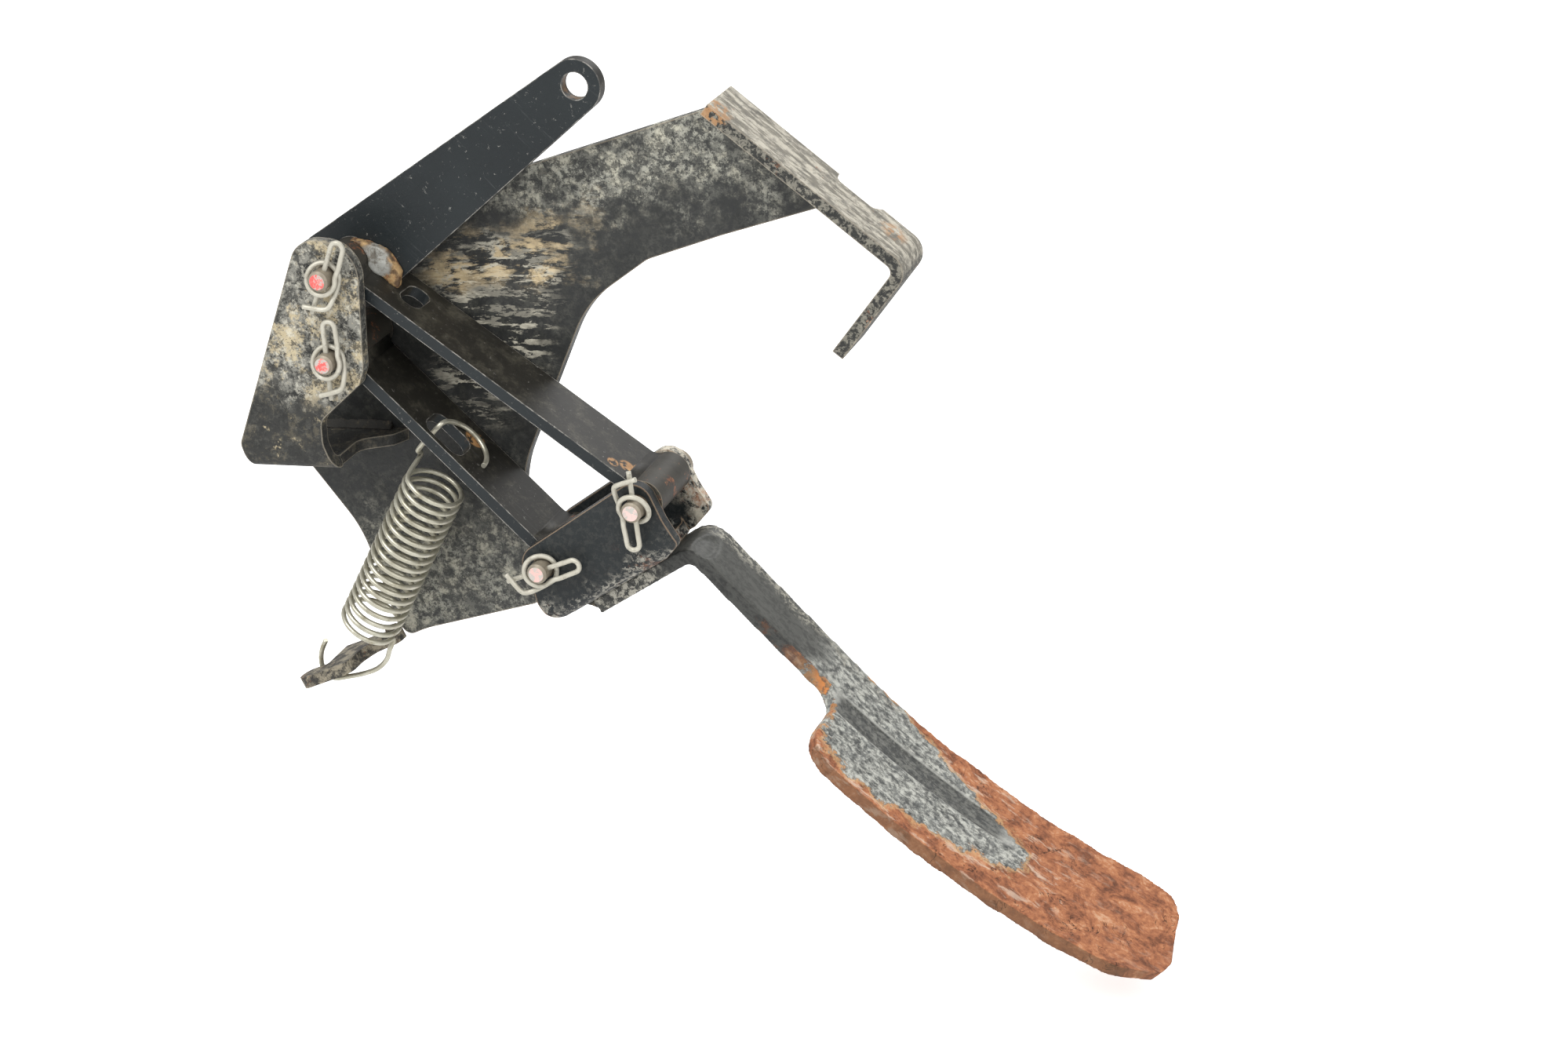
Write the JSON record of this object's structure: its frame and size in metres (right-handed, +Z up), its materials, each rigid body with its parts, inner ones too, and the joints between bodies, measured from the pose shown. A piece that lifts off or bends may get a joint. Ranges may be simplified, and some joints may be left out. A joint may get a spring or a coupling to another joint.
{
  "type": "accelerator pedal",
  "caption": "Floor-hung accelerator pedal: two parallel links carry a channel and a curved foot pad from a steel bracket, with a throttle lever and a return spring",
  "frame": {"origin": "on the back face of the upright bracket plate, midway between the two fixed pivot pins", "axes": "+Z up and +X right along the plate, towards the foot pad; +Y goes back, out of the plate's back face"},
  "size_m": [0.4748, 0.094, 0.4012],
  "materials": {
    "plate_paint": "satin black paint under dust and mottling",
    "worn_paint": "black paint worn to a pale streaky face",
    "link_paint": "smooth blue-black paint, bare along the edges",
    "pad_paint": "dark grey paint with flaky orange rust round the pad",
    "weld_metal": "dull weld bead with light rust",
    "pin_steel": "dull steel with faded red paint dots",
    "clip_wire": "dull zinc-plated wire",
    "spring_wire": "bright zinc-plated wire, slightly yellow"
  },
  "bodies": {
    "bracket": {"bracket_plate": "plate_paint", "pivot_ear": "plate_paint", "ear_weld": "weld_metal", "flange_bar": "worn_paint", "flange_weld": "weld_metal", "spring_anchor": "plate_paint", "anchor_weld": "weld_metal", "upper_pivot_pin": "pin_steel", "lower_pivot_pin": "pin_steel", "upper_pivot_clip": "clip_wire", "lower_pivot_clip": "clip_wire", "return_spring": "spring_wire"},
    "upper_link": {"upper_link_bar": "link_paint", "upper_pivot_tube": "link_paint", "upper_pedal_tube": "link_paint", "throttle_lever": "link_paint", "lever_weld": "weld_metal"},
    "lower_link": {"lower_link_bar": "link_paint", "lower_pivot_tube": "link_paint", "lower_pedal_tube": "link_paint"},
    "pedal": {"coupler_channel": "plate_paint", "pedal_arm": "pad_paint", "arm_weld": "weld_metal", "upper_pedal_pin": "pin_steel", "lower_pedal_pin": "pin_steel", "upper_pedal_clip": "clip_wire", "lower_pedal_clip": "clip_wire"}
  },
  "joints": [
    {"name": "upper_link_turn", "type": "hinge", "parent": "bracket", "child": "upper_link", "pos_m": [0, -0.027, 0.021], "axis": [0, -1, 0], "range_deg": [0, 18], "stiffness_Nm_per_rad": 6.6, "springref_deg": -31.51, "deforming": ["return_spring"]},
    {"name": "lower_link_turn", "type": "hinge", "parent": "bracket", "child": "lower_link", "pos_m": [0, -0.027, -0.021], "axis": [0, -1, 0], "range_deg": [0, 22.5], "deforming": ["return_spring"]},
    {"name": "pedal_turn", "type": "hinge", "parent": "upper_link", "child": "pedal", "pos_m": [0.1555, -0.0285, -0.0755], "axis": [0, -1, 0], "range_deg": [-11, 0]}
  ],
  "couplings": [
    {"joint": "lower_link_turn", "follows": "upper_link_turn", "ratio": 1.231},
    {"joint": "pedal_turn", "follows": "upper_link_turn", "ratio": -0.594}
  ]
}
